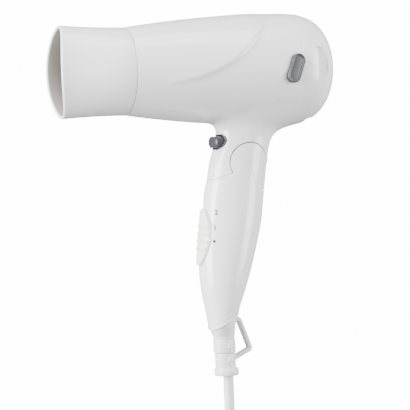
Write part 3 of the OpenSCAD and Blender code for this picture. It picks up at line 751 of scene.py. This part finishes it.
# ---- handle -------------------------------------------------------------------------------
TRACK_FOOT, TRACK_LEAN, KNOB_L, KNOB_HALF = (-21.5, -14.5), 6.8, 38.0, 10.2
TRACK_DEPTH, TRACK_HALF_W, TRAVEL = 20.5, 15.6, 14.0
KNOB_SPACE, KNOB_LIFT, KNOB_RISE, KNOB_ROUND = 0.3, 0.3, 2.9, 1.4
RIBS_AT, RIB_RISE, RIB_WIDTH = (11.1, 16.1, 21.1, 26.1), 0.8, 0.75


def to_track(p):
    """Points in the switch's leaning frame: depth, side, along."""
    a = math.radians(TRACK_LEAN)
    dx, dz = p[:, 0] - TRACK_FOOT[0], p[:, 2] - TRACK_FOOT[1]
    return np.stack([dx * math.cos(a) - dz * math.sin(a), p[:, 1],
                     dx * math.sin(a) + dz * math.cos(a)], 1)


def from_track(q):
    a = math.radians(TRACK_LEAN)
    q = np.asarray(q, float)
    return np.stack([TRACK_FOOT[0] + q[..., 0] * math.cos(a) + q[..., 2] * math.sin(a),
                     q[..., 1],
                     TRACK_FOOT[1] - q[..., 0] * math.sin(a) + q[..., 2] * math.cos(a)], -1)


def lens_half(t):
    """Half width of the knob's outline at a share t of its length."""
    t = np.clip(t, 0, 1)
    return KNOB_HALF * np.sin(np.pi * (0.08 + 0.84 * t)) ** 0.8


def channel_distance(p):
    q = to_track(p)
    along = np.where(q[:, 2] < KNOB_L / 2, q[:, 2],
                     np.where(q[:, 2] < KNOB_L / 2 + TRAVEL, KNOB_L / 2, q[:, 2] - TRAVEL))
    half = lens_half(along / KNOB_L) + KNOB_SPACE
    ends = np.maximum(-KNOB_SPACE - q[:, 2], q[:, 2] - KNOB_L - TRAVEL - KNOB_SPACE)
    return np.where(q[:, 0] < 12, np.maximum(np.abs(q[:, 1]) - half, ends), FAR)


def build_handle():
    zs = np.arange(-60, 68.1, 0.7)
    bm = grid_mesh([section_ring(GRIP_ROWS, z, turn(180)) for z in zs])
    slot_half = TONGUE_HALF + 0.3

    def in_slot(p):
        return np.minimum(np.minimum(slot_half - np.abs(p[:, 1]), p[:, 0] - HINGE_X),
                          p[:, 2] - SLOT_Z)

    fields = [
        foot_side,
        lambda p: np.where(p[:, 0] < STOP_END, stop_edge(p), FAR),
        knuckle,
        lambda p: np.where((p[:, 2] > 30) & (p[:, 0] > 5), slot_half - np.abs(p[:, 1]), FAR),
        lambda p: np.where(p[:, 0] > 5, p[:, 2] - SLOT_Z, FAR),
        lambda p: np.where(p[:, 2] > 45, p[:, 2] - HINGE_Z, FAR),
        channel_distance,
    ]
    for field in fields:
        split_along(bm, field)
    for field in (foot_side, lambda p: -handle_side(p), lambda p: -in_slot(p), channel_distance):
        keep_where(bm, field)
    two_shells(bm, handle_seam, "handle",
               (("handle_front", "handle_front_shell"), ("handle_rear", "handle_rear_shell")))


build_handle()


def track_surface(u, t, grow):
    """A point grow above the switch's track, at side u and length t."""
    reach = TRACK_HALF_W + grow
    s = np.clip(u / reach, -0.999, 0.999)
    depth = TRACK_DEPTH + KNOB_LIFT - (TRACK_DEPTH + grow) * np.sqrt(1 - s ** 2)
    return np.stack([depth, u, t], -1)


def build_channel_floor():
    """The thin skin that closes the knob's channel, behind the knob."""
    us = np.linspace(-13.2, 13.2, 41)
    ts = np.linspace(-1.5, KNOB_L + TRAVEL + 1.5, 90)
    grid = np.array([[track_surface(u, t, 0.0) for u in us] for t in ts])
    bm = grid_mesh(from_track(grid), close_u=False)
    keep_where(bm, lambda p: 0.9 - channel_distance(p))
    obj = make_piece("switch_channel", bm, "shell_white", "handle")
    add_wall(obj, 0.5, 1.0)


build_channel_floor()


def build_knob():
    """The lens-shaped knob with its four ribs, and its flat back on the track."""
    def lift(t, share):
        edge = min((1 - abs(share)) * lens_half(t / KNOB_L), t, KNOB_L - t)
        fall = 1 - min(edge, KNOB_ROUND) / KNOB_ROUND
        rounding = KNOB_ROUND * (1 - math.sqrt(max(0.0, 1 - fall ** 2)))
        inner = max(0.0, min(1.0, (1 - abs(share)) * 6))
        ribs = sum(RIB_RISE * math.exp(-((t - r) / RIB_WIDTH) ** 2) for r in RIBS_AT) * inner
        return KNOB_RISE - rounding + ribs

    rows = []
    for t in np.linspace(0, KNOB_L, 150):
        half = float(lens_half(t / KNOB_L))
        row = [track_surface(s * half, t, lift(t, s)) for s in np.linspace(-1, 1, 41)]
        rows.append([track_surface(-half, t, KNOB_LIFT), *row, track_surface(half, t, KNOB_LIFT)])
    first = [track_surface(q[1], 0.0, KNOB_LIFT) for q in rows[0]]
    last = [track_surface(q[1], KNOB_L, KNOB_LIFT) for q in rows[-1]]
    rows = [first] + rows + [last]
    back = [[track_surface(q[1], q[2], KNOB_LIFT) for q in row] for row in rows]
    bm = grid_mesh(from_track(np.array(rows)), close_u=False)
    join_into(bm, grid_mesh(from_track(np.array(back)), close_u=False))
    bmesh.ops.remove_doubles(bm, verts=bm.verts, dist=0.002)
    make_piece("slide_switch", bm, "knob_white", "slider", "slide_knob", sharp=40)


build_knob()


# ---- hinge: tongue, ears and the neck's saddle -------------------------------------------
def skin_half(rows, x, z):
    """Half width of a handle or neck section at that place in the side view."""
    c, hd, hw = section(rows, z)
    return hw * np.sqrt(np.maximum(1 - ((x - c) / hd) ** 2, 0))


def build_tongue():
    """The slab between the ears, pushed out to both sides from its outline, edges rounded."""
    arc = [hinge_point(12.5, a) for a in np.linspace(math.radians(-205), math.radians(25), 60)]
    outline = arc + [(HINGE_X + 11.6, 71.0), (HINGE_X - 11.6, 71.0)]
    half = TONGUE_HALF - 0.05
    bm = bmesh.new()
    for y in (-half, half):
        bm.faces.new([bm.verts.new((x, y, z)) for x, z in outline])
    bm.verts.ensure_lookup_table()
    n = len(outline)
    for i in range(n):
        j = (i + 1) % n
        bm.faces.new((bm.verts[i], bm.verts[j], bm.verts[n + j], bm.verts[n + i]))
    mod = make_piece("hinge_tongue", bm, "shell_white", "head").modifiers.new("edges", "BEVEL")
    mod.width = 0.5 * MM
    mod.segments = 3
    mod.limit_method = "ANGLE"
    mod.angle_limit = math.radians(35)


EAR_GAP, KNUCKLE_FROM = 0.12, -2.1


def ear_top(x):
    """Height of the handle's top edge at x: the stop edge, the hinge's level or the knuckle."""
    top = stop_height(x) if x < HINGE_X else HINGE_Z
    arc = KNUCKLE_R ** 2 - (x - HINGE_X) ** 2
    if arc > 0 and x > KNUCKLE_FROM:
        top = max(top, HINGE_Z + math.sqrt(arc))
    return top


def build_ears():
    """The solid sides of the handle's fork, one on each side of the tongue."""
    cols, rows, reach = 64, 26, 13.2
    for side, name in ((-1, "hinge_ear_right"), (1, "hinge_ear_left")):
        loop = []
        for j in range(rows):
            inner, outer = [], []
            for u in np.linspace(-1, 1, cols):
                z = 50.0
                for _ in range(12):
                    x = section(GRIP_ROWS, z)[0] + reach * u
                    top = ear_top(x)
                    z = 0.5 * z + 0.5 * top
                z = SLOT_Z - 1.0 + (top - EAR_GAP - SLOT_Z + 1.0) * j / (rows - 1)
                if j < rows - 1:
                    x = section(GRIP_ROWS, z)[0] + reach * u
                far = max(float(skin_half(GRIP_ROWS, x, z)) - 0.9, TONGUE_HALF + 0.5)
                inner.append((x, side * (TONGUE_HALF + 0.32), z))
                outer.append((x, side * far, z))
            loop.append(inner + outer[::-1])
        bm = grid_mesh(loop)
        verts = list(bm.verts)
        width = 2 * cols
        for base in (0, (rows - 1) * width):
            for i in range(cols - 1):
                bm.faces.new((verts[base + i], verts[base + i + 1],
                              verts[base + width - 2 - i], verts[base + width - 1 - i]))
        make_piece(name, bm, "shell_white", "handle", sharp=30)


def build_saddle():
    """The neck's underside: a floor along the stop edge, then the hollow for the knuckle."""
    line = [(x, stop_height(x) + 0.35) for x in np.linspace(-13.4, -2.6, 16)]
    line += [hinge_point(KNUCKLE_R + 0.4, a) for a in np.linspace(math.radians(200), 0, 60)]
    rows = []
    for x, z in line:
        half = max(float(skin_half(NECK_ROWS, x, z)) - 0.7, 0.4)
        rows.append([(x, half * v, z) for v in np.linspace(-1, 1, 33)])
    bm = grid_mesh(rows, close_u=False)
    obj = make_piece("neck_saddle", bm, "shell_white", "head", sharp=30, fix_normals=False)
    add_wall(obj, 1.6)


def build_knuckle_gap_shade():
    """A thin dark band just under the gap round the knuckle, on both sides: painted shade that
    stands for the shadow in the gap.
    """
    lip, middle, root = KNUCKLE_R + 0.9, KNUCKLE_R + 0.25, KNUCKLE_R - 0.5
    outline = ((root, 0.28), (middle, 0.28), (lip, 0.28), (lip, 1.4), (root, 1.4))
    bm = bmesh.new()
    for side in (-1, 1):
        rows = []
        for a in np.linspace(math.radians(212), math.radians(2), 90):
            row = []
            for r, depth in outline:
                x, z = hinge_point(r, a)
                row.append((x, side * (float(skin_half(NECK_ROWS, x, z)) - depth), z))
            rows.append(row)
        join_into(bm, grid_mesh(rows, cap_ends=True))
    # switch_black here is painted shade: a dark sheet where the gap round the knuckle falls in
    # shadow.
    make_piece("knuckle_gap_shade", bm, "switch_black", "head")


build_tongue()
build_ears()
build_saddle()
build_knuckle_gap_shade()


# ---- side caps ----------------------------------------------------------------------------
def oblong_ring(radius, reach, n=72):
    """Points (across, along) of an oblong with that end radius."""
    out = []
    for i in range(n):
        a = 2 * math.pi * i / n
        shift = reach if math.sin(a) >= 0 else -reach
        out.append((radius * math.cos(a), radius * math.sin(a) + shift))
    return out


def build_side_caps():
    lean = math.radians(CAP_LEAN)
    full = CAP_W / 2
    reach = CAP_L / 2 - full
    # inset from the oblong's edge, depth below the cap's face
    rim = ((0, 0.7), (0.08, 0.35), (0.3, 0.08), (0.6, 0), (1.0, 0.05), (1.25, 0.3), (1.4, 0.6),
           (1.7, 0.66), (2.4, 0.55), (3.2, 0.46))
    profile = [(full - 0.1, CAP_FLOOR)] + [(full - inset, CAP_FACE - dip) for inset, dip in rim]
    profile += [(0.6, CAP_FACE - 0.42), (0.15, CAP_FACE - 0.42)]
    for side, name in ((-1, "side_cap_right"), (1, "side_cap_left")):
        rows = [[(CAP_POS[0] + u * math.cos(lean) + v * math.sin(lean), side * y,
                  CAP_POS[1] - u * math.sin(lean) + v * math.cos(lean))
                 for u, v in oblong_ring(radius, reach)] for radius, y in profile]
        bm = grid_mesh(rows, cap_ends=True)
        mesh = make_piece("trim_" + name, bm, "dark_trim", "head", name, sharp=40).data
        mesh.materials.append(MATS["trim_face"])
        limit = (CAP_FACE - 0.7) * MM
        for poly in mesh.polygons:
            if abs(poly.normal.y) > 0.8 and abs(poly.center.y) > limit:
                if oblong_distance(np.array([poly.center]) / MM, full - 1.35)[0] < 0:
                    poly.material_index = 1


build_side_caps()


# ---- cool-shot button ---------------------------------------------------------------------
def stadium(grow, shrink=0.0, n=72):
    r = BUTTON_HALF_H + grow - shrink
    reach = BUTTON_HALF_W - BUTTON_HALF_H
    out = []
    for i in range(n):
        a = 2 * math.pi * i / n
        out.append((r * math.cos(a) + (reach if math.cos(a) >= 0 else -reach), r * math.sin(a)))
    return out


def neck_front(y, z):
    c, hd, hw = section(NECK_ROWS, z)
    return c - hd * math.sqrt(max(1 - (y / hw) ** 2, 0.02))


def build_button():
    # how far out from the button, how far behind the neck's front
    rim = [(1.35, 2.2), (1.35, -0.15), (1.25, -0.5), (1.0, -0.72), (0.75, -0.72), (0.48, -0.5),
           (0.3, -0.1), (0.26, 2.2)]
    rows = [[(neck_front(y, BUTTON_Z + z) + out, y, BUTTON_Z + z) for y, z in stadium(grow)]
            for grow, out in rim]
    bm = grid_mesh(rows, close_v=True)
    make_piece("button_frame", bm, "dark_trim", "head", "button_bezel", sharp=45)
    root, side, front, space = -2.3, -8.9, -11.0, -0.05
    rows = [[(x, y, BUTTON_Z + z) for y, z in stadium(space)] for x in (root, side + 0.5)]
    for k in range(1, 17):
        a = math.pi / 2 * k / 16
        shrink = (BUTTON_HALF_H - 0.25) * (1 - math.cos(a)) ** 0.9
        rows.append([(side - (side - front) * math.sin(a) + 0.06 * y * y * math.sin(a) / 4,
                      y, BUTTON_Z + z) for y, z in stadium(space, shrink)])
    bm = grid_mesh(rows, cap_ends=True)
    make_piece("cool_shot_button", bm, "dark_trim", "button", "cool_button", sharp=50)


build_button()


# ---- rear cover ---------------------------------------------------------------------------
def build_rear_cover():
    slots, inner_slots = 28, 12
    power = DOME_POWER
    depth = DOME_END - 0.4 - WIDEST_X
    share = (GRILLE_X + 0.3 - WIDEST_X) / (DOME_END - WIDEST_X)
    first = BARREL_R * (1 - share ** power) ** (1 / power)
    radii = np.concatenate([np.linspace(1.0, 10.4, 14), np.linspace(11.0, 21.6, 22),
                            np.linspace(22.0, first, 12)])
    angles = turn(slots * 12)
    rows = []
    for r in radii:
        x = WIDEST_X + (DOME_END - WIDEST_X) * (1 - (r / BARREL_R) ** power) ** (1 / power)
        rows.append(barrel_ring(min(x, WIDEST_X + depth), r, angles))
    bm = grid_mesh(rows)
    centre = bm.verts.new((WIDEST_X + depth, 0, AXIS_Z))
    loop = list(bm.verts)[:len(angles)]
    for i in range(len(angles)):
        bm.faces.new((loop[i], loop[(i + 1) % len(angles)], centre))

    def slot_field(count, half, r0, r1):
        def field(p):
            r = np.hypot(p[:, 1], p[:, 2] - AXIS_Z)
            a = np.arctan2(p[:, 1], p[:, 2] - AXIS_Z)
            pitch = 2 * np.pi / count
            a = (a + pitch / 2) % pitch - pitch / 2
            side = np.abs(r * np.sin(a)) - half
            ends = np.maximum(r0 + half - r, r - r1 + half)
            return np.hypot(np.maximum(side + half, 0), np.maximum(ends, 0)) - half
        return field

    for field in (slot_field(slots, 0.85, 11.0, 21.6), slot_field(inner_slots, 0.7, 4.5, 9.4)):
        split_along(bm, field)
        keep_where(bm, field)
    obj = make_piece("rear_cover", bm, "shell_white", "grille", "rear_grille", sharp=40)
    add_wall(obj, SHELL_WALL)
    skirt = [(GRILLE_X - 3.5, 22.9), (GRILLE_X - 3.5, 24.7), (GRILLE_X - 3.2, 24.92),
             (GRILLE_X + 1.6, 24.92), (GRILLE_X + 1.6, 22.9)]
    bm = grid_mesh([barrel_ring(x, r, angles[::2]) for x, r in skirt], close_v=True)
    make_piece("rear_skirt", bm, "shell_white", "grille", sharp=40)


build_rear_cover()


# ---- bottom of the handle -----------------------------------------------------------------
def tilted_ring(inset, drop, n=120):
    """The handle's section where the slanting bottom plane, lowered by drop, cuts it."""
    tilt = math.tan(math.radians(FOOT_TILT))
    out = []
    for i in range(n):
        t = 2 * math.pi * i / n
        z = FOOT_POINT[1] - drop
        for _ in range(25):
            c, hd, hw = section(GRIP_ROWS, z)
            x = c + (hd - inset) * math.cos(t)
            z = 0.4 * z + 0.6 * (FOOT_POINT[1] - drop + (x - FOOT_POINT[0]) * tilt)
        out.append((x, (hw - inset) * math.sin(t), z))
    return np.array(out)


def build_collar():
    profile = [(2.5, 0.14), (0.2, 0.14), (-0.15, 0.2), (-0.35, 0.45), (-0.42, 0.9), (-0.42, 2.2),
               (-0.34, 2.55), (-0.1, 2.75), (2.5, 2.78)]
    bm = grid_mesh([tilted_ring(inset, drop) for inset, drop in profile], close_v=True)
    make_piece("handle_collar", bm, "shell_white", "handle", "end_collar", sharp=40)


def build_boot():
    """The stepped rubber boot: it leaves the collar on a slant and ends in a round flange."""
    angles = turn(120)

    def disc(cx, r, z):
        return np.array([(cx + r * math.cos(t), r * math.sin(t), z) for t in angles])

    top = tilted_ring(0.9, COLLAR_H - 0.3)
    neck = disc(-6.62, 7.25, -65.0)
    rows = [top]
    for k in range(1, 15):
        s = k / 14
        ease = s * s * (3 - 2 * s)
        ring = top * (1 - s) + neck * s
        ring[:, 0] = top[:, 0] * (1 - ease) + neck[:, 0] * ease
        ring[:, 1] = top[:, 1] * (1 - ease) + neck[:, 1] * ease
        rows.append(ring)
    steps = [(-6.6, 7.02, -65.3), (-6.6, 7.05, -65.6), (-6.6, 7.42, -65.8), (-6.58, 7.55, -66.1)]
    steps += [(-6.55, 7.55, z) for z in np.arange(-66.4, -73.3, -0.3)]
    steps += [(-6.5, 7.5, -73.6), (-6.45, 7.42, -74.1), (-6.4, 7.1, -74.45),
             (-6.35, 6.85, -74.8), (-6.3, 6.92, -75.2), (-6.25, 7.02, -75.8)]
    steps += [(-6.2, 7.05, z) for z in np.arange(-76.1, -83.5, -0.3)]
    steps += [(-6.15, 7.02, -83.6), (-6.1, 6.9, -84.2), (-6.0, 6.78, -84.6), (-5.9, 6.95, -84.85),
             (-5.8, 7.6, -84.95), (-5.72, 8.1, -85.15), (-5.7, 8.3, -85.6), (-5.7, 8.32, -87.5),
             (-5.7, 8.28, -89.2), (-5.7, 8.05, -89.7), (-5.6, 7.5, -89.95), (-5.0, 5.0, -90.0),
             (-4.5, 3.75, -90.0), (-4.5, 3.5, -89.4), (-4.5, 3.45, -88.0)]
    for cx, r, z in steps:
        rows.append(disc(cx, r, z))
    bm = grid_mesh(rows, cap_ends=True)
    for z0, z1 in ((-71.4, -67.8), (-80.6, -77.2)):
        def window(p):
            near = np.maximum(np.abs(p[:, 2] - (z0 + z1) / 2) - (z1 - z0) / 2,
                              np.abs(p[:, 0] + 4.6) - 2.3)
            return np.where((p[:, 2] < -66.5) & (p[:, 2] > -83), near, FAR)
        split_along(bm, window)
        split_along(bm, lambda p: window(p) + 0.4)
        move_verts(bm, lambda p, nrm: -nrm * (0.7 * np.clip(-window(p) / 0.4, 0, 1))[:, None])
    make_piece("cord_boot", bm, "cord_white", "handle", "strain_relief", sharp=38)


def build_loop():
    """The flat hanging loop, bent at its knee, from the collar back to the boot."""
    line = np.array([(-1.0, -53.4), (1.6, -52.6), (3.6, -52.2), (4.7, -53.6), (6.3, -57.8),
                     (8.4, -63.4), (10.4, -68.9), (11.2, -71.2), (11.2, -72.6), (10.2, -73.7),
                     (7.4, -74.9), (3.4, -76.8), (0.4, -78.2), (-2.6, -79.4)])
    path = smooth_rows(line, 6)
    step = np.gradient(path, axis=0)
    step /= np.linalg.norm(step, axis=1)[:, None]
    rows = []
    for (x, z), (dx, dz) in zip(path, step):
        row = []
        for i in range(40):
            t = 2 * math.pi * i / 40
            a = 1.55 * signed_power(math.cos(t), 0.55)
            b = 3.1 * signed_power(math.sin(t), 0.4)
            row.append((x - dz * a, b, z + dx * a))
        rows.append(row)
    bm = grid_mesh(rows, cap_ends=True)
    make_piece("hanging_loop", bm, "cord_white", "handle", "hang_loop", sharp=50)


build_collar()
build_boot()
build_loop()


# ---- switch marks -------------------------------------------------------------------------
def glyph(text, size):
    """A character's flat outline as a bmesh."""
    curve = bpy.data.curves.new("mark", "FONT")
    curve.body = text
    curve.size = size
    curve.offset = 0.14
    curve.align_x, curve.align_y = "CENTER", "CENTER"
    obj = place("mark", curve)
    ready = obj.evaluated_get(bpy.context.evaluated_depsgraph_get())
    bm = bmesh.new()
    bm.from_mesh(ready.to_mesh())
    bpy.data.objects.remove(obj)
    bpy.data.curves.remove(curve)
    return bm


def dot(radius, n=32):
    bm = bmesh.new()
    angles = [2 * math.pi * i / n for i in range(n)]
    bm.faces.new([bm.verts.new((radius * math.cos(a), radius * math.sin(a), 0)) for a in angles])
    return bm


def build_marks():
    """A 2, a 1 and a dot, printed on the casing beside the switch."""
    joined = bmesh.new()
    marks = ((glyph("2", 4.5), -13.2, 20.7), (glyph("1", 4.5), -14.6, 10.6),
             (dot(0.95), -15.5, 1.6))
    for bm, x0, z0 in marks:
        bmesh.ops.triangulate(bm, faces=bm.faces)
        for v in bm.verts:
            x, z = x0 + v.co.x * 0.9, z0 + v.co.y
            v.co = (x, -float(skin_half(GRIP_ROWS, x, z)) - 0.03, z)
        join_into(joined, bm)
    obj = make_piece("printed_marks", joined, "mark_grey", "handle", "switch_marks", sharp=60,
                     fix_normals=False)
    add_wall(obj, 0.05, 0.0)


build_marks()

TEXTURE_ONLY = {
    "hinge_pin": "steel", "switch_block": "switch_black", "slide_guide": "guide_grey",
    "handle_wires": "copper_red", "cord_clamp": "guide_grey", "handle_screw": "steel",
    "plug_pins": "pin_metal", "slide_carriage": "switch_black", "outlet_grille": "heat_grille",
    "heat_shield": "mica", "mica_frame": "mica", "heating_coils": "coil_wire",
    "thermostat": "steel", "thermal_fuse": "fuse_metal", "fan_duct": "duct_black",
    "motor": "steel", "motor_terminals": "terminal_brass", "cool_microswitch": "switch_black",
    "neck_wires": "copper_red", "neck_screw": "steel", "button_spring": "steel",
    "impeller": "duct_black", "motor_shaft": "steel", "intake_filter": "dark_trim",
}
for name, material in TEXTURE_ONLY.items():
    data = nodes[name].data
    data.materials.clear()
    data.materials.append(MATS[material])


# ---- floor, light -------------------------------------------------------------------------
PAPER_GLOW, SKY_LIGHT = 14.0, 0.36


def make_stage():
    """A plain floor that curves up all round; it glows, and only the camera sees it."""
    low, reach, high = cad_low.z - 0.9, 4.0, 4.0
    profile = [(r, low) for r in (0.02, 1.0, 2.0, 3.0)]
    for k in range(1, 13):
        a = math.pi / 2 * k / 12
        profile.append((reach - 1 + math.sin(a), low + 1 - math.cos(a)))
    for k in range(1, 25):
        a = math.pi / 2 * k / 24
        profile.append((max(reach * math.cos(a), 0.02), low + 1 + high * math.sin(a)))
    rows = [[(r * math.cos(t), r * math.sin(t), z) for t in turn(96)] for r, z in profile]
    bm = grid_mesh(rows, cap_ends=True)
    mesh = bpy.data.meshes.new("floor")
    bm.to_mesh(mesh)
    bm.free()
    mesh.shade_smooth()
    floor = place("floor", mesh)
    paper = plastic("floor_paper", (0.9, 0.9, 0.9), 0.9, 50, 0.0, 0.0)
    glow = paper.node_tree.nodes["Principled BSDF"].inputs
    glow["Emission Color"].default_value = (1, 1, 1, 1)
    glow["Emission Strength"].default_value = PAPER_GLOW
    mesh.materials.append(paper)
    floor.visible_diffuse = floor.visible_glossy = floor.visible_shadow = False
    floor.visible_transmission = False


def area_light(name, location, target, size, power):
    data = bpy.data.lights.new(name, "AREA")
    data.shape = "RECTANGLE"
    data.size, data.size_y = size
    data.energy = power
    obj = place(name, data)
    obj.location = location
    obj.rotation_euler = (Vector(target) - Vector(location)).to_track_quat("-Z", "Y").to_euler()
    obj.visible_camera = False


def make_lights():
    centre = (0.0, 0.0, 0.04)
    area_light("left_box", (-1.35, -0.2, 0.3), centre, (0.7, 1.3), 105)
    area_light("right_box", (1.1, -0.8, 0.2), centre, (0.6, 1.2), 44)
    area_light("top_box", (-0.1, -0.35, 1.35), centre, (1.2, 0.7), 22)
    world = bpy.data.worlds.new("studio")
    world.use_nodes = True
    sky = world.node_tree.nodes["Background"].inputs
    sky["Color"].default_value = (1, 1, 1, 1)
    sky["Strength"].default_value = SKY_LIGHT
    bpy.context.scene.world = world


make_stage()
make_lights()
